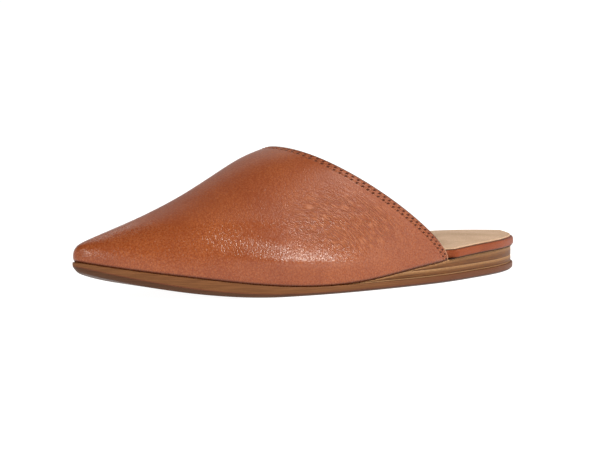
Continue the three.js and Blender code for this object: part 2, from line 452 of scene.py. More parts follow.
print("the upper lift runs out near station", round(station_where_seat_is(LOWER_LIFT_TOP), 2))

# %% [markdown]
# ## Finishes of the sole and heel
#
# The edges are leatherboard and stacked leather, trimmed, stained and waxed. Two things show:
# fine streaks that run along each layer, because the board is pressed in sheets, and a slight
# sheen from the wax. The streaks are noise drawn out along the layer: its scale is high upwards
# and low along the floor. A lift's upper corner is where wear rubs the stain off first.

# %% Streaky edge finishes
def new_finish(name, roughness, specular=0.5):
    material = bpy.data.materials.new(name)
    material.use_nodes = True
    tree = material.node_tree
    shader = tree.nodes["Principled BSDF"]
    shader.inputs["Roughness"].default_value = roughness
    shader.inputs["Specular IOR Level"].default_value = specular
    in_mm = add_node(
        tree, "VectorMath", {"operation": "SCALE"},
        Vector=add_node(tree, "TexCoord").outputs["Object"], Scale=1 / MM,
    ).outputs[0]
    return material, tree, shader, in_mm


def noise(tree, place, scale, detail=3.0, roughness=0.5, output="Fac"):
    node = add_node(
        tree, "TexNoise", Vector=place, Scale=scale, Detail=detail, Roughness=roughness
    )
    return node.outputs[output]


def stretched(tree, place, scale):
    return add_node(tree, "Mapping", Vector=place, Scale=scale).outputs[0]


def bumped(tree, shader, height, depth):
    """Relief of that depth, in mm, where height runs from 0 to 1."""
    bump = add_node(tree, "Bump", Height=height, Distance=depth * MM)
    bump.inputs["Strength"].default_value = 1.0
    tree.links.new(bump.outputs[0], shader.inputs["Normal"])


def streaky_edge(name, dark, light, pale, roughness=0.5):
    """The mark rubbed is 1 where the upper corner has worn pale."""
    material, tree, shader, place = new_finish(name, roughness, specular=0.15)
    streaks = noise(tree, stretched(tree, place, (0.05, 0.05, 3.2)), 1.0, 5, 0.62)
    flecks = noise(tree, stretched(tree, place, (0.5, 0.5, 4.0)), 1.0, 3, 0.6)
    grain = computed(tree, "ADD", computed(tree, "MULTIPLY", streaks, 0.65),
                     computed(tree, "MULTIPLY", flecks, 0.35))
    tint = mixed(tree, stepped(tree, grain, 0.36, 0.64), dark, light)
    rubbed = attribute(tree, "rubbed")
    worn = computed(tree, "MULTIPLY", rubbed, stepped(tree, flecks, 0.3, 0.6, 0.5, 1.0))
    tint = mixed(tree, worn, tint, pale)
    tree.links.new(tint, shader.inputs["Base Color"])
    tree.links.new(stepped(tree, flecks, 0.3, 0.7, roughness - 0.07, roughness + 0.1),
                   shader.inputs["Roughness"])
    bumped(tree, shader, grain, 0.12)
    return material


lift_finish = streaky_edge("stacked_leather", (0.07, 0.024, 0.006, 1), (0.19, 0.072, 0.02, 1),
                           (0.36, 0.19, 0.08, 1))
line_finish = streaky_edge("glue_line", (0.34, 0.18, 0.08, 1), (0.48, 0.28, 0.14, 1),
                           (0.48, 0.28, 0.14, 1), 0.6)
# Near black: painted shade for the open joint under the footbed's wrapped edge.
shadow_finish = streaky_edge("painted_shade_line", (0.012, 0.005, 0.003, 1), (0.03, 0.012, 0.006, 1),
                             (0.03, 0.012, 0.006, 1), 0.8)

# %% Outsole finish
def make_outsole_finish():
    """Brown board with a wax sheen. The mark bevel is 1 on the trimmed lower edge, which is
    darker, and crease is 1 along the line above it."""
    material, tree, shader, place = new_finish("outsole_edge", 0.5, specular=0.15)
    streaks = noise(tree, stretched(tree, place, (0.06, 0.06, 2.4)), 1.0, 5, 0.6)
    upper = mixed(tree, stepped(tree, streaks, 0.35, 0.65),
                  (0.135, 0.05, 0.016, 1), (0.195, 0.077, 0.026, 1))
    lower = mixed(tree, stepped(tree, streaks, 0.35, 0.65),
                  (0.06, 0.022, 0.008, 1), (0.09, 0.034, 0.013, 1))
    bevel, crease = attribute(tree, "bevel"), attribute(tree, "crease")
    ahead = add_node(tree, "SeparateXYZ", Vector=place).outputs["X"]
    upper = mixed(tree, stepped(tree, ahead, -75, 10, 0.8, 0.0), upper, (0.11, 0.034, 0.012, 1))
    tint = mixed(tree, bevel, upper, lower)
    tint = mixed(tree, crease, tint, (0.16, 0.045, 0.022, 1))
    tree.links.new(tint, shader.inputs["Base Color"])
    grit = noise(tree, place, 1.6, 4, 0.6)
    tree.links.new(stepped(tree, grit, 0.3, 0.7, 0.42, 0.6), shader.inputs["Roughness"])
    bumped(tree, shader, computed(tree, "ADD", streaks, grit), 0.05)
    return material


outsole_finish = make_outsole_finish()

# %% [markdown]
# ## The outsole
#
# The sole is cut from sheet, cemented on, and trimmed with a cutter whose profile leaves a
# bevel below and a fine crease above it. The bevel is wide round the toe and narrow behind.
# The underside has a shallow herringbone under the ball and the heel for grip, moulded in, so
# it is made in the mesh too.

# %% Make the outsole
EDGE_INSET, EDGE_INSET_AT_TOE = 1.1, 2.2
EDGE_HEIGHT, EDGE_HEIGHT_AT_TOE = 1.3, 3.2
CREASE = 0.22
TREAD_DEPTH, TREAD_PITCH = 0.5, 5.0


def bevel_inset(t):
    return lerp(EDGE_INSET_AT_TOE, EDGE_INSET, smooth(1.5, 5.8, t))


def bevel_height(t):
    return lerp(EDGE_HEIGHT_AT_TOE, EDGE_HEIGHT, smooth(1.5, 5.8, t))


def outsole_top(t):
    return np.minimum(seat(t) - 0.1, lerp(seat(t) - 0.1, OUTSOLE_THICKNESS, smooth(5.4, 5.9, t)))


def outsole_profile():
    """From the underside, up the bevel, across the crease and up the edge to the top."""
    def bevel(q, swell):
        return (
            lambda t: lerp(-bevel_inset(t), SOLE_LIP, q) + swell,
            lambda t: floor_at(t) + bevel_height(t) * q,
        )

    def above_crease(outset, rise):
        return (SOLE_LIP + outset, lambda t: floor_at(t) + bevel_height(t) + rise)

    def below_top(outset, drop):
        return (SOLE_LIP + outset, lambda t: outsole_top(t) - drop)

    start = (lambda t: -bevel_inset(t) - 0.6, floor_at)
    return [
        start, bevel(0.02, -0.1), bevel(0.12, 0.10), bevel(0.35, 0.24), bevel(0.65, 0.22),
        bevel(0.9, 0.02), above_crease(-0.05, -0.02), above_crease(-CREASE, 0.08),
        above_crease(-0.06, 0.24), above_crease(0, 0.4), below_top(0.03, 0.9),
        below_top(-0.02, 0.3), below_top(-0.2, 0.06), below_top(-0.6, 0.0),
    ]


def tread(points, share):
    """Herringbone grooves, cut up into the underside within two panels."""
    x, y = points[..., 0], points[..., 1]
    side_ways = np.minimum(share, 1 - share) * np.abs(y[:, :1] - y[:, -1:])
    inside = smooth(5, 7, side_ways)
    forefoot = smooth(140, 146, x) * (1 - smooth(226, 232, x))
    heel = smooth(8, 12, x) * (1 - smooth(56, 60, x))
    zigzag = x + np.abs((y / 9) % 2 - 1) * 9
    groove = smooth(0.15, 0.45, np.abs((zigzag / TREAD_PITCH) % 1 - 0.5) * 2 - 0.45)
    return TREAD_DEPTH * groove * inside * (forefoot + heel)


def make_outsole():
    profile = outsole_profile()
    bevel = np.array([1, 1, 1, 1, 1, 1, 0.5] + [0] * (len(profile) - 7))[:, None]
    crease = np.array([0] * 6 + [0.6, 1, 0.6] + [0] * (len(profile) - 9))[:, None]
    patches = layer(
        stations_from(0, 420), profile, under=tread, across=64,
        wall_marks={"bevel": bevel, "crease": crease},
    )
    patches[2]["marks"]["bevel"] = 1.0
    build("outsole_trimmed", patches, [outsole_finish], ["outsole"])


make_outsole()

# %% [markdown]
# ## The stacked heel
#
# Two lifts wedge the heel up. Each is level below, follows the shank above and runs out to
# nothing under the waist. Cement squeezed between the layers dries as a pale line, which the
# trimming leaves just below the surface, so each line is a thin layer of its own. Under the
# wrapped footbed the joint stays open a little and lies in shade; a fourth, near-black line
# paints that shade as a layer.

# %% Make the lifts and the lines between them
LIFT_INSET = 0.6
LINE_INSET = 0.72
LINE_HEIGHT = 0.42


def band_profile(outset, low, high, corner):
    """A thin layer whose edge is square but for its two small corners."""
    soft = lambda t: np.minimum(corner, (high(t) - low(t)) * 0.3)
    return [
        (lambda t: outset - 1.2 * corner, low),
        (outset - 0.25 * corner, lambda t: low(t) + 0.3 * soft(t)),
        (outset, lambda t: low(t) + soft(t)),
        (outset + 0.04, lambda t: (low(t) + high(t)) / 2),
        (outset, lambda t: high(t) - soft(t)),
        (outset - 0.25 * corner, lambda t: high(t) - 0.3 * soft(t)),
        (lambda t: outset - 1.2 * corner, high),
    ]


def make_lift(name, level, top, replaced):
    start = station_where_seat_is(level + LINE_HEIGHT + 0.15)
    low = lambda t: np.minimum(level + LINE_HEIGHT, top(t) - 0.03)
    profile = band_profile(-LIFT_INSET, low, top, 0.25)
    rubbed = np.array([0, 0, 0, 0, 0.7, 1, 1])[:, None]
    patches = layer(stations_from(start, 200), profile, wall_marks={"rubbed": rubbed})
    build(name, patches, [lift_finish], [replaced])


def make_line(name, low, high, start, outset=-LINE_INSET, finish=line_finish):
    profile = band_profile(outset, low, high, 0.1)
    build(name, layer(stations_from(start, 200), profile), [finish])


def under_seat(t):
    return seat(t) - LINE_HEIGHT


make_lift("lower_lift", OUTSOLE_THICKNESS, lambda t: np.minimum(LOWER_LIFT_TOP, under_seat(t)),
          "heel_lift_lower")
make_lift("upper_lift", LOWER_LIFT_TOP, under_seat, "heel_lift_upper")
for line, level in (("lower_line", OUTSOLE_THICKNESS), ("middle_line", LOWER_LIFT_TOP)):
    make_line(line, lambda t, z=level: np.minimum(z, seat(t) - 0.12),
              lambda t, z=level: np.minimum(z + LINE_HEIGHT, seat(t) - 0.08),
              station_where_seat_is(level + 0.2))
make_line("seat_line", under_seat, lambda t: seat(t) - 0.08, station_where_seat_is(4.9))
# The shadow line is a near-black layer under the footbed's wrapped edge: painted shade.
make_line("shadow_line", lambda t: seat(t) - 0.05, lambda t: seat(t) + 0.65, TOPLINE + 0.1,
          outset=0.1, finish=shadow_finish)

# %% [markdown]
# ## Leather
#
# Leather is skin. Its grain is a network of tiny creases round pebbles of about a millimetre,
# its colour is dye that has sunk in unevenly, and its shine comes from a thin finish that sits
# higher on the pebbles than in the creases. Cells of a Voronoi texture make the pebbles, and
# their places are pushed about by noise, because cells on their own look ruled.

# %% Grained leather
def wandering(tree, place, scale, amount):
    """A place pushed about by noise, so that cells don't look ruled."""
    drift = noise(tree, place, scale, 2, output="Color")
    centred = add_node(tree, "VectorMath", {"operation": "SUBTRACT"}, _0=drift, _1=(0.5,) * 3)
    scaled = add_node(tree, "VectorMath", {"operation": "SCALE"}, Vector=centred.outputs[0],
                      Scale=amount)
    return add_node(tree, "VectorMath", {"operation": "ADD"}, _0=place,
                    _1=scaled.outputs[0]).outputs[0]


def pebbles(tree, place, size):
    """1 on each pebble and 0 in the creases between them."""
    drifting = wandering(tree, place, 0.5, 1.2)
    cells = add_node(tree, "TexVoronoi", {"feature": "DISTANCE_TO_EDGE"}, Vector=drifting,
                     Scale=1 / size, Randomness=1.0)
    return stepped(tree, cells.outputs["Distance"], 0.0, 0.2)


def leather(name, deep, middle, pale, roughness=0.45, grain=1.0, relief=0.07):
    """Plain leather: mottled dye and pebble grain. A mark on the points, 1 where the leather turns
    under or runs in beside another piece out of the light, darkens it there: painted shade."""
    material, tree, shader, place = new_finish(name, roughness, specular=0.2)
    clouds = noise(tree, place, 0.045, 4, 0.55)
    specks = noise(tree, place, 0.9, 3, 0.7)
    bead = pebbles(tree, place, grain)
    tint = mixed(tree, stepped(tree, clouds, 0.3, 0.7), deep, middle)
    tint = mixed(tree, stepped(tree, specks, 0.5, 0.75), tint, pale)
    tint = mixed(tree, stepped(tree, bead, 0.0, 1.0, 0.35, 0.0), tint, deep)
    # Darkened where the leather turns under, out of the light: painted shade.
    tint = mixed(tree, attribute(tree, "hidden"), tint, (0.03, 0.01, 0.004, 1))
    tree.links.new(tint, shader.inputs["Base Color"])
    tree.links.new(stepped(tree, specks, 0.3, 0.7, roughness - 0.06, roughness + 0.08),
                   shader.inputs["Roughness"])
    bumped(tree, shader, bead, relief)
    return material


wrap_finish = leather("wrap_leather", (0.19, 0.034, 0.006, 1), (0.26, 0.052, 0.01, 1),
                      (0.34, 0.085, 0.02, 1), grain=0.8, relief=0.04)
sock_finish = leather("sock_leather", (0.46, 0.3, 0.18, 1), (0.62, 0.43, 0.285, 1),
                      (0.8, 0.56, 0.44, 1), roughness=0.6, grain=1.1, relief=0.05)

# %% [markdown]
# ## The footbed
#
# A thin padded board is wrapped in leather round its edge, and a sock of pale leather is glued
# on top, a little inside the edge. Under the vamp both are cut narrower, so that they drop in
# between its sides. The padding makes the heel softly crowned.

# %% Make the footbed and the sock
INSOLE_AT_HEEL, INSOLE_AT_BALL = 4.6, 3.0
WALL = 2.0
BAND_LIP = 0.8
SOCK_INSET = 1.6
SOCK_THICKNESS = 0.9
WING, WING_END = TOPLINE + 0.08, TOPLINE + 0.3


def insole_outset(t):
    return lerp(-WALL - 0.5, BAND_LIP, smooth(WING, WING_END, t))


def insole_top(t):
    return seat(t) + lerp(INSOLE_AT_BALL, INSOLE_AT_HEEL, smooth(6, TOPLINE, t))


def rounded_edge(outset, low, high, radius, steps=5):
    """An edge rounded over above and below, as a wrapped board is."""
    turns = np.linspace(0, np.pi / 2, steps)
    lower = [
        (lambda t, a=a: outset(t) - radius * (1 - np.sin(a)),
         lambda t, a=a: low(t) + radius * (1 - np.cos(a)))
        for a in turns
    ]
    upper = [
        (lambda t, a=a: outset(t) - radius * (1 - np.cos(a)),
         lambda t, a=a: high(t) - radius * (1 - np.sin(a)))
        for a in turns
    ]
    return lower + upper


def crown(height):
    """A face that swells softly between its edges."""
    return lambda points, share: height * np.sin(np.pi * share) ** 0.6 + 0 * points[..., 0]


def make_footbed():
    profile = rounded_edge(insole_outset, lambda t: seat(t) + 0.05, insole_top, 1.3)
    # The wrap is darkened at its turned-under foot and at its top beside the sock's edge: painted
    # shade.
    hidden = np.array([1, 1, 0.9, 0.2, 0, 0, 0, 0, 0.3, 0.9])[:, None]
    patches = layer(stations_from(0.3, 240), profile, across=8, wall_marks={"hidden": hidden})
    made = build("footbed", patches, [wrap_finish], ["insole"])


def make_sock():
    outset = lambda t: insole_outset(t) - SOCK_INSET
    low = lambda t: insole_top(t) + 0.02
    high = lambda t: insole_top(t) + SOCK_THICKNESS
    profile = rounded_edge(outset, low, high, 0.4, steps=4)
    build("sock_lining", layer(stations_from(0.6, 240), profile, top=crown(0.7), across=40),
          [sock_finish], ["sock"])


make_footbed()
make_sock()

# %% [markdown]
# ## The vamp's surface
#
# Each rib is a Bezier curve from the feather edge up to the ridge, steep at the foot and level
# at the top. Ribs between the tabled ones come from the spline. The surface is sampled as one
# grid, from the toe back to the topline and from the outer side over the ridge to the inner
# one, closely enough to carry soft creases. It is finer near the topline, where the edge is.

# %% Sample the ribs as a grid
FEATHER_BULGE = 2.0
FAN_FALL = 0.4
VAMP_ROWS, VAMP_COLUMNS = 237, 201


def rib_rows(side):
    """Each rib's four Bezier points, with one row before the toe and one past the topline."""
    def one(side, k):
        rows = feather_rows(side)[k:k + 3]
        pull = np.array([rows[2][1] - rows[0][1], rows[0][0] - rows[2][0], 0]) * side
        foot = rows[1]
        rise = RIBS["rise_" + SIDE_NAMES[side]][k]
        swell = foot + pull / np.linalg.norm(pull) * FEATHER_BULGE + [0, 0, rise]
        ridge = np.array([RIBS[axis][k] for axis in ("ridge_x", "ridge_y", "ridge_z")])
        fan = RIBS["fan"][k]
        shoulder = ridge + [fan, side * RIBS["crown_" + SIDE_NAMES[side]][k], -FAN_FALL * fan]
        return np.array([foot, swell, shoulder, ridge])

    inside = [one(side, k) for k in range(TOPLINE + 1)]
    beyond = 2 * inside[-1] - inside[-2]
    beyond[0] = feather_rows(side)[TOPLINE + 2]
    return np.array([one(-side, 1), *inside, beyond]).reshape(TOPLINE + 3, 12)


def rib_points(side, t, s):
    """Points of the ribs at stations t, as far up them as s says, from 0 to 1."""
    control = spline(rib_rows(side), t).reshape(-1, 1, 4, 3)
    s = np.asarray(s)[None, :, None]
    weights = ((1 - s) ** 3, 3 * s * (1 - s) ** 2, 3 * s**2 * (1 - s), s**3)
    return sum(weight * control[:, :, i] for i, weight in enumerate(weights))


def sample_vamp(stations, columns):
    """Points evenly spaced along each rib, and how far round the rib each column lies."""
    s = np.linspace(0, 1, 161)
    ribs = np.concatenate(
        [rib_points(LATERAL, stations, s), rib_points(MEDIAL, stations, s)[:, -2::-1]], axis=1
    )
    steps = np.linalg.norm(np.diff(ribs, axis=1), axis=2)
    along = np.pad(np.cumsum(steps, axis=1), ((0, 0), (1, 0)))
    share = np.linspace(0, 1, columns)
    grid = np.empty((len(stations), columns, 3))
    for i, (rib, distance) in enumerate(zip(ribs, along)):
        for axis in range(3):
            grid[i, :, axis] = np.interp(share * distance[-1], distance, rib[:, axis])
    return grid, along[:, -1]


def ease_to_topline(count):
    return TOPLINE * (1 - np.linspace(1, 0, count) ** 1.3)


vamp_stations = ease_to_topline(VAMP_ROWS)
plain_skin, rib_length = sample_vamp(vamp_stations, VAMP_COLUMNS)
print("rib length, mm:", rib_length[[0, VAMP_ROWS // 2, -1]].round(1))

# %% Directions out of the skin
def outward_normals(grid):
    """Across the toe line the grid goes on as its own mirror row, so it stays smooth there."""
    whole = np.concatenate([grid[3:0:-1, ::-1], grid])
    back, round_rib = np.gradient(whole, axis=0), np.gradient(whole, axis=1)
    normals = np.cross(back, round_rib)[3:]
    length = np.linalg.norm(normals, axis=2, keepdims=True)
    return normals / np.maximum(length, 1e-9)


plain_normals = outward_normals(plain_skin)
print("normals at the crest:", plain_normals[VAMP_ROWS // 2, VAMP_COLUMNS // 2].round(2))

# %% Distance from the topline
from mathutils.kdtree import KDTree


def measure_from_topline(grid, reach=16.0, spacing=0.1):
    """For each point, how far the topline is, and how far along the topline its foot lies."""
    edge = grid[-1]
    along = np.concatenate([[0], np.cumsum(np.linalg.norm(np.diff(edge, axis=0), axis=1))])
    places = np.arange(0, along[-1], spacing)
    tree = KDTree(len(places))
    for i, point in enumerate(np.stack([np.interp(places, along, edge[:, a]) for a in range(3)], 1)):
        tree.insert(point, i)
    tree.balance()
    distance = np.full(grid.shape[:2], reach)
    place = np.zeros(grid.shape[:2])
    for i in range(len(grid) - 1, -1, -1):
        for j, point in enumerate(grid[i]):
            _, nearest, gap = tree.find(point)
            distance[i, j] = gap
            place[i, j] = places[nearest]
        if distance[i].min() > reach:
            break
    return np.minimum(distance, reach), place


from_edge, edge_place = measure_from_topline(plain_skin)
print("topline length, mm:", round(float(edge_place.max()), 1))

# %% [markdown]
# ## Creases and drawn grain
#
# A lasted vamp is never quite smooth. It swells low on the outer side, where the ball of the
# foot will be, with a shallow trough above, and it dips where it was pinched. These few forms
# are listed one by one, each as a soft trough or ridge between two places on the surface. Behind
# the swell the leather was drawn, and fine wrinkles lie in leaning rings round one place. The
# inner side is plainer, so its forms and wrinkles are weaker.

# %% Soft forms, listed one by one
# From and to are places on the skin: a station, and how many mm up from the feather edge.
CREASES = table(
    "side from_station from_up to_station to_up width depth",
    (1, 3.4, 13.5, 6.4, 9.5, 5.0, 1.5),  # the swell over the ball
    (1, 3.4, 26, 6.6, 22, 7.0, -1.4),   # the trough above it
    (1, 3.5, 17, 3.9, 16, 2.5, -0.3),   # a small dimple in front of the swell
    (1, 2.0, 38, 4.6, 58, 9.0, -0.5),   # a flat below the crest
    (1, 0.5, 11, 1.8, 12, 4.0, 0.25),   # the toe's side
    (1, 0.1, 3.5, 0.5, 5, 1.6, -0.35),  # a pinch where the toe is folded under
    (-1, 3.4, 13, 6.2, 10, 6.0, 1.0),
    (-1, 3.6, 27, 6.4, 24, 8.0, -0.9),
    (-1, 2.0, 38, 4.6, 56, 9.0, -0.4),
)


def crease_path(side, stations, up):
    """Points over the skin at those stations, up mm from the feather edge on that side."""
    row = np.interp(stations, vamp_stations, np.arange(VAMP_ROWS))
    share = up / np.interp(stations, vamp_stations, rib_length)
    column = (share if side > 0 else 1 - share) * (VAMP_COLUMNS - 1)
    r, c = row.astype(int), column.astype(int)
    past_row, past_column = (row - r)[:, None], (column - c)[:, None]
    nearer = lerp(plain_skin[r, c], plain_skin[r, c + 1], past_column)
    farther = lerp(plain_skin[r + 1, c], plain_skin[r + 1, c + 1], past_column)
    return lerp(nearer, farther, past_row)


def soft_forms(grid):
    """How far the creases push each point of the skin out. They fade towards their ends."""
    push = np.zeros(grid.shape[:2])
    q = np.linspace(0, 1, 97)
    for side, station, up, to_station, to_up, width, depth in zip(*CREASES.values()):
        path = crease_path(side, lerp(station, to_station, q), lerp(up, to_up, q))
        form = np.zeros(grid.shape[:2])
        for point, fade in zip(path, np.sin(np.pi * (0.05 + 0.9 * q))):
            gap = np.linalg.norm(grid - point, axis=2)
            form = np.maximum(form, fade * np.exp(-((gap / width) ** 2)))
        push += depth * form
    return push


form_push = soft_forms(plain_skin)
print("soft forms push out by, mm:", form_push.min().round(2), form_push.max().round(2))

# %% Drawn wrinkles, the tucked foot and the dents under the stitches
from mathutils import noise as smooth_noise

STITCH_PITCH = 3.3
ROW_INSETS = (1.5, 3.3)

share_round = np.linspace(0, 1, VAMP_COLUMNS)[None, :]
station_grid = vamp_stations[:, None] + 0 * share_round
drawn = np.exp(-((station_grid - 6.4) / 1.4) ** 2) * (
    np.exp(-((share_round - 0.19) / 0.12) ** 2) + 0.5 * np.exp(-((share_round - 0.81) / 0.12) ** 2)
)
drawn *= smooth(2.5, 8.0, from_edge)
WRINKLE_PITCH, WRINKLE_LENGTH, WRINKLE_DEPTH = 2.6, 9.0, 0.2
WRINKLE_CENTRE = (-80.0, 12.0)  # mm back to the topline, and up from the feather edge
RING_LEAN, RING_SQUASH = 0.45, 0.7  # the rings lean back as they rise, and are flattened
RING_RADIUS = 40.0  # at which a turn round the rings is measured in mm
TUCK_HEIGHT, TUCK_DEPTH, TUCK_SINK = 1.8, 0.7, 0.35


def back_from_toe(grid):
    """Distance back along each column, which is also the first flat coordinate."""
    steps = np.linalg.norm(np.diff(grid, axis=0), axis=2)
    return np.pad(np.cumsum(steps, axis=0), ((1, 0), (0, 0)))


flat_u = back_from_toe(plain_skin)
flat_u -= flat_u[-1]
flat_v = share_round * rib_length[:, None]
from_foot = np.minimum(flat_v, rib_length[:, None] - flat_v)
behind, above = flat_u - WRINKLE_CENTRE[0], from_foot - WRINKLE_CENTRE[1]
behind, above = behind - RING_LEAN * above, RING_SQUASH * above
ring_out = np.hypot(behind, above)
ring_round = np.arctan2(above, behind) * RING_RADIUS


def wrinkles(out, round_ring):
    field = [
        smooth_noise.noise(Vector((a / WRINKLE_PITCH, b / WRINKLE_LENGTH, 3.7)))
        for a, b in zip(out.ravel(), round_ring.ravel())
    ]
    return np.array(field).reshape(out.shape)


def tuck(up):
    """The leather turns in under the last along the feather edge, and down on to the sole."""
    turned = np.clip(1 - up / TUCK_HEIGHT, 0, 1)[..., None] ** 2
    out = np.where(
        share_round[..., None] < 0.5,
        outward(LATERAL, vamp_stations)[:, None],
        outward(MEDIAL, vamp_stations)[:, None],
    )
    return -turned * (TUCK_DEPTH * out + [0, 0, TUCK_SINK])


def stitch_dents(distance):
    """Each row of stitches pulls the leather down, and it swells a little between them."""
    dents = sum(np.exp(-(((distance - inset) / 0.5) ** 2)) for inset in ROW_INSETS)
    return -0.16 * dents * (distance > 0.1)


push = form_push + WRINKLE_DEPTH * drawn * wrinkles(ring_out, ring_round) + stitch_dents(from_edge)
skin = plain_skin + plain_normals * push[..., None] + tuck(from_foot)
skin_normals = outward_normals(skin)
print("deepest and highest, mm:", push.min().round(2), push.max().round(2))

# %% [markdown]
# ## The vamp's finish
#
# This is the same leather with more to say. Where the mark drawn says so, the pebbles give way
# to ripples that follow the rings. The creases of pebbles and ripples are darkened with painted
# shade, and the ripples' tops lightened with a painted highlight. The needle's holes are pits in
# two rows, darkened with painted shade, and a line of painted shade runs along the foot, where the
# leather tucks under. The shine is strongest low down, where the leather is stretched tight, and
# duller above. The cut edge is burnished dark along the topline, and rubbed pale at the two tips,
# where feet brush past.

# %% Vamp leather and its raw edge
HOLE_LENGTH, HOLE_WIDTH = 1.5, 1.25
HOLE_SLANT = -0.8  # how far a hole moves along for each mm across, so that it leans
HOLE_TIMES = 4.0   # how much deeper a hole is than the grain
RIPPLE_ACROSS, RIPPLE_ALONG = 0.7, 3.4  # mm
DULL_FROM, DULL_TO = 30, 40  # heights in mm between which the shine goes


def needle_holes(tree, place, distance):
    """1 inside a hole. Each row's holes lie between its stitches."""
    share = computed(tree, "FRACT", computed(tree, "DIVIDE", place, STITCH_PITCH))
    along = computed(tree, "MULTIPLY", computed(tree, "SUBTRACT", share, 0.5), STITCH_PITCH)
    rows = []
    for inset in ROW_INSETS:
        off_row = computed(tree, "SUBTRACT", distance, inset)
        slanted = computed(tree, "ADD", along, computed(tree, "MULTIPLY", off_row, HOLE_SLANT))
        aside = computed(tree, "DIVIDE", off_row, HOLE_WIDTH / 2)
        ahead = computed(tree, "DIVIDE", slanted, HOLE_LENGTH / 2)
        square = computed(tree, "ADD", computed(tree, "MULTIPLY", aside, aside),
                          computed(tree, "MULTIPLY", ahead, ahead))
        rows.append(stepped(tree, square, 0.6, 1.5, 1.0, 0.0))
    return computed(tree, "MAXIMUM", *rows)


def make_vamp_finish():
    """Dyed grain, drawn ripples, needle holes and a burnished dark line along the topline, with
    painted shade in the creases, the holes and along the foot, and a painted highlight on ripple tops.
    """
    deep, middle, pale = (0.22, 0.043, 0.009, 1), (0.295, 0.071, 0.016, 1), (0.42, 0.14, 0.05, 1)
    dark = (0.07, 0.014, 0.004, 1)
    material, tree, shader, place = new_finish("vamp_leather", 0.33, specular=0.42)
    distance = attribute(tree, "from_edge")
    holes = needle_holes(tree, attribute(tree, "edge_place"), distance)
    drawn_mask = attribute(tree, "drawn")
    ring = add_node(tree, "CombineXYZ", X=attribute(tree, "ring_out"),
                    Y=attribute(tree, "ring_round")).outputs[0]
    ripples = noise(tree, stretched(tree, ring, (1 / RIPPLE_ACROSS, 1 / RIPPLE_ALONG, 1)), 1.0, 1, 0.4)
    drawn_out = stepped(tree, ripples, 0.32, 0.68)
    bead = pebbles(tree, place, 1.5)
    relief = add_node(tree, "Mix", _0=stepped(tree, drawn_mask, 0.05, 0.7), _2=bead,
                      _3=drawn_out).outputs[0]
    calm = stepped(tree, distance, 1.0, 9.0, 0.35, 1.0)
    calm = computed(tree, "MULTIPLY", calm, stepped(tree, drawn_mask, 0.15, 0.8, 1.0, 7.0))
    clouds = noise(tree, place, 0.03, 4, 0.55)
    specks = noise(tree, place, 1.1, 2, 0.6)
    tint = mixed(tree, stepped(tree, clouds, 0.3, 0.7), deep, middle)
    tint = mixed(tree, stepped(tree, specks, 0.35, 0.7, 0.0, 0.35), tint, pale)
    # Darker in the creases of the pebbles and ripples: painted shade.
    tint = mixed(tree, stepped(tree, relief, 0.0, 0.8, 0.8, 0.0), tint, deep)
    # Lighter on the tops of the drawn ripples: a painted highlight.
    most_drawn = stepped(tree, drawn_mask, 0.1, 0.8)
    painted_highlight = computed(tree, "MULTIPLY", stepped(tree, relief, 0.4, 1.0, 0.0, 0.35), most_drawn)
    tint = mixed(tree, painted_highlight, tint, pale)
    # Dark along the foot, where the leather tucks under on to the sole: painted shade.
    tint = mixed(tree, stepped(tree, attribute(tree, "from_foot"), 0.5, 1.5, 0.9, 0.0), tint, dark)
    height = add_node(tree, "SeparateXYZ", Vector=place).outputs["Z"]
    burnish = mixed(tree, stepped(tree, height, 16, 24), (0.45, 0.25, 0.14, 1), dark)
    tint = mixed(tree, stepped(tree, distance, 0.25, 0.75, 0.9, 0.0), tint, burnish)
    # Dark in the needle holes: painted shade inside them.
    tint = mixed(tree, holes, tint, dark)
    tree.links.new(tint, shader.inputs["Base Color"])
    rough = stepped(tree, specks, 0.3, 0.7, 0.25, 0.33)
    dull = stepped(tree, height, DULL_FROM, DULL_TO, 0.0, 0.45)
    rough = computed(tree, "MAXIMUM", rough, dull)
    rough = computed(tree, "MAXIMUM", rough, holes)
    tree.links.new(rough, shader.inputs["Roughness"])
    pushed = computed(tree, "MULTIPLY", relief, calm)
    pushed = computed(tree, "SUBTRACT", pushed, computed(tree, "MULTIPLY", holes, HOLE_TIMES))
    bumped(tree, shader, pushed, 0.045)
    return material


vamp_finish = make_vamp_finish()


def make_raw_edge_finish():
    """Burnished dark along the topline, and rubbed pale down at the two tips."""
    material, tree, shader, place = new_finish("raw_edge", 0.6, specular=0.2)
    height = add_node(tree, "SeparateXYZ", Vector=place).outputs["Z"]
    fibres = stepped(tree, noise(tree, place, 2.4, 3, 0.6), 0.35, 0.65)
    burnished = mixed(tree, fibres, (0.07, 0.02, 0.008, 1), (0.14, 0.045, 0.018, 1))
    rubbed = mixed(tree, fibres, (0.42, 0.27, 0.17, 1), (0.56, 0.4, 0.27, 1))
    tint = mixed(tree, stepped(tree, height, 16, 27), rubbed, burnished)
    tree.links.new(tint, shader.inputs["Base Color"])
    bumped(tree, shader, fibres, 0.04)
    return material


raw_edge_finish = make_raw_edge_finish()

# %% Make the vamp
LEATHER = 1.2
EDGE_ROUND = 0.28


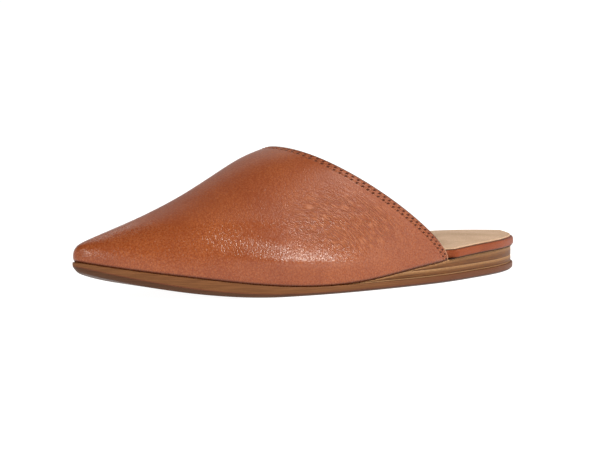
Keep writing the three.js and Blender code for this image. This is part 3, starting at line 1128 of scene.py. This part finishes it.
def shell(grid, normals, outer, inner, edge_finish, marks, corner=EDGE_ROUND, back=0.0):
    """Patches of a closed sheet of leather between two depths below the skin, its edge rounded
    at the topline. back sets the edge in from the topline."""
    top, ahead = grid[-1], grid[-1] - grid[-3]
    ahead /= np.linalg.norm(ahead, axis=1, keepdims=True)
    face = grid - normals * outer
    inside = grid - normals * inner
    face[-1] -= ahead * (corner + back)
    inside[-1] -= ahead * (corner + back)
    turns = np.linspace(0, np.pi, 9)
    middle, half = (outer + inner) / 2, (inner - outer) / 2
    edge = np.array([
        top - normals[-1] * (middle - half * np.cos(a))
        + ahead * (corner * (np.sin(a) ** 0.6 - 1) - back)
        for a in turns
    ])
    feet = [np.stack([face[:, j], inside[:, j]]) for j in (0, -1)]
    edge_marks = {name: values[-1][None] for name, values in marks.items()}
    return [
        patch(face, flip=True, **marks),
        patch(edge, flip=True, finish=edge_finish, **edge_marks),
        patch(inside),
        patch(feet[0], flip=True),
        patch(feet[1]),
    ]


def thinned(count, step):
    """Every step-th index, with the last one kept."""
    return np.unique(np.append(np.arange(0, count, step), count - 1))


marks = {
    "from_edge": from_edge, "edge_place": edge_place, "drawn": drawn,
    "from_foot": from_foot, "ring_out": ring_out, "ring_round": ring_round,
}
build("vamp", shell(skin, skin_normals, 0.0, LEATHER, 1, marks),
      [vamp_finish, raw_edge_finish], ["upper"])

# %% [markdown]
# ## Lining and facing
#
# Behind the leather lies a brown brushed lining, and along the topline a strip of tan leather,
# the facing, covers its edge. The strip has the same width all along, so its points are taken
# where the topline is a given distance away, not at a given station.

# %% Brushed lining
def make_lining_finish():
    """Short nap: fine specks of dark and light, and no shine."""
    material, tree, shader, place = new_finish("brushed_lining", 0.9, specular=0.2)
    nap = noise(tree, place, 2.6, 3, 0.7)
    clouds = noise(tree, place, 0.12, 3)
    tint = mixed(tree, stepped(tree, nap, 0.35, 0.65), (0.19, 0.09, 0.035, 1), (0.42, 0.23, 0.11, 1))
    tint = mixed(tree, stepped(tree, clouds, 0.35, 0.65, 0.0, 0.3), tint, (0.25, 0.12, 0.05, 1))
    tree.links.new(tint, shader.inputs["Base Color"])
    shader.inputs["Sheen Weight"].default_value = 0.25
    shader.inputs["Sheen Roughness"].default_value = 0.4
    bumped(tree, shader, nap, 0.12)
    return material


lining_finish = make_lining_finish()
facing_finish = leather("facing_leather", (0.42, 0.235, 0.12, 1), (0.52, 0.31, 0.17, 1),
                        (0.6, 0.38, 0.23, 1), roughness=0.55, grain=0.8, relief=0.04)

# %% Make the lining
LINING_FRONT, LINING_BACK = 1.25, 1.75
LINING_SET_BACK = 0.4

rows, columns = thinned(VAMP_ROWS, 3), thinned(VAMP_COLUMNS, 2)
lining_grid, lining_normals = (grid[rows][:, columns] for grid in (skin, skin_normals))
build("lining", shell(lining_grid, lining_normals, LINING_FRONT, LINING_BACK, 0, {},
                      corner=0.15, back=LINING_SET_BACK),
      [lining_finish])

# %% Places at a given distance from the topline
def at_distance(levels, *grids):
    """Each grid's values on every column, where the topline is that many mm away."""
    level_rows = np.array([
        np.interp(levels, from_edge[::-1, j], np.arange(VAMP_ROWS)[::-1])
        for j in range(VAMP_COLUMNS)
    ]).T
    low = np.clip(level_rows.astype(int), 0, VAMP_ROWS - 2)
    part = level_rows - low
    column = np.arange(VAMP_COLUMNS)[None, :]
    taken = []
    for grid in grids:
        q = part[..., None] if grid.ndim == 3 else part
        taken.append(lerp(grid[low, column], grid[low + 1, column], q))
    return taken


# %% Make the facing
FACING_WIDTH = 8.5
FACING_FRONT, FACING_BACK = 1.75, 2.2
FACING_TRIM = 6  # columns cut away at each tip, where the footbed's edge comes out


def make_facing():
    levels = np.array([0.15, 0.3, 0.6, 1.2, 2.4, 3.6, 4.8, 6.0, 7.2, 8.1, FACING_WIDTH])
    points, normals = (
        taken[:, FACING_TRIM:-FACING_TRIM] for taken in at_distance(levels, skin, skin_normals)
    )
    dip = np.zeros((len(levels), 1, 1))
    dip[[0, -1]] = 0.15
    over = points - normals * (FACING_BACK - dip)
    under = points - normals * (FACING_FRONT + dip)
    build("facing", [
        patch(over, flip=True),
        patch(under),
        patch([under[0], over[0]], flip=True),
        patch([over[-1], under[-1]], flip=True),
        patch(np.stack([over[:, 0], under[:, 0]]), flip=True),
        patch(np.stack([over[:, -1], under[:, -1]])),
    ], [facing_finish])


make_facing()

# %% [markdown]
# ## Stitching
#
# Two rows of lockstitch hold vamp, lining and facing together. Each stitch is a short length
# of thread that dips into a needle hole at both ends, so it is a small tube, thickest in the
# middle, that follows its row. The same rows are made outside and inside.

# %% Thread
def make_thread_finish(name, dark, light):
    """Waxed thread: its plies show as slanting stripes."""
    material, tree, shader, place = new_finish(name, 0.5, specular=0.4)
    plies = add_node(tree, "TexWave", {"bands_direction": "DIAGONAL"}, Vector=place, Scale=1.1,
                     Distortion=1.5).outputs["Fac"]
    tree.links.new(mixed(tree, plies, dark, light), shader.inputs["Base Color"])
    bumped(tree, shader, plies, 0.05)
    return material


thread_finish = make_thread_finish("thread", (0.25, 0.07, 0.025, 1), (0.42, 0.14, 0.06, 1))
inner_thread_finish = make_thread_finish("inner_thread", (0.3, 0.13, 0.05, 1), (0.5, 0.26, 0.12, 1))

# %% The path of a row of stitches
def stitch_rail(inset, depth=0.0):
    """Places along the topline, points on the surface and the way up from it. With a depth the
    row lies that far behind the skin and up is into the shoe."""
    place, points, normals = (
        grid[0] for grid in at_distance([inset], edge_place, skin, skin_normals)
    )
    rising = np.append(True, np.diff(np.maximum.accumulate(place)) > 1e-3)
    up = -normals if depth else normals
    return place[rising], (points - normals * depth)[rising], up[rising]


print("outer row, mm:", stitch_rail(ROW_INSETS[0])[0][[0, -1]].round(1))

# %% Make the stitches
THREAD_RADIUS = 0.27
STITCH_RISE, STITCH_DIP = 0.12, 0.35


def stitch_tube(rail, centre, length=STITCH_PITCH - 0.6):
    """Rings round one stitch: it rises in the middle and dips into a hole at both ends."""
    place, points, ups = rail
    q = np.linspace(-1, 1, 9)
    where = centre + q * length / 2
    line, up = (
        np.stack([np.interp(where, place, values[:, axis]) for axis in range(3)], axis=1)
        for values in (points, ups)
    )
    arch = (1 - np.abs(q) ** 3)[:, None]
    line += up * lerp(-STITCH_DIP, STITCH_RISE, arch)
    aside = np.cross(up, np.gradient(line, axis=0))
    aside /= np.linalg.norm(aside, axis=1, keepdims=True)
    turn = np.linspace(0, 2 * np.pi, 9)[None, :, None]
    radius = THREAD_RADIUS * np.sqrt(1 - q**8)[:, None, None]
    round_line = np.cos(turn) * aside[:, None] + 0.8 * np.sin(turn) * up[:, None]
    return line[:, None] + radius * round_line


def make_stitches(name, rails, finish):
    tubes = []
    for rail in rails:
        first, last = (int(value / STITCH_PITCH) for value in rail[0][[0, -1]])
        tubes += [stitch_tube(rail, i * STITCH_PITCH) for i in range(first + 1, last + 1)]
    build(name, [patch(tube) for tube in tubes], [finish])


make_stitches("outer_stitches", [stitch_rail(inset) for inset in ROW_INSETS], thread_finish)
make_stitches("inner_stitches", [stitch_rail(inset, FACING_BACK) for inset in ROW_INSETS],
              inner_thread_finish)


def write_sizes():
    boxes = [[list(corner) for corner in box] for box in (cad_box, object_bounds())]
    for name, box in zip(("CAD", "visual"), boxes):
        print(name, "mm:", [[round(value * 1000, 1) for value in corner] for corner in box])


write_sizes()
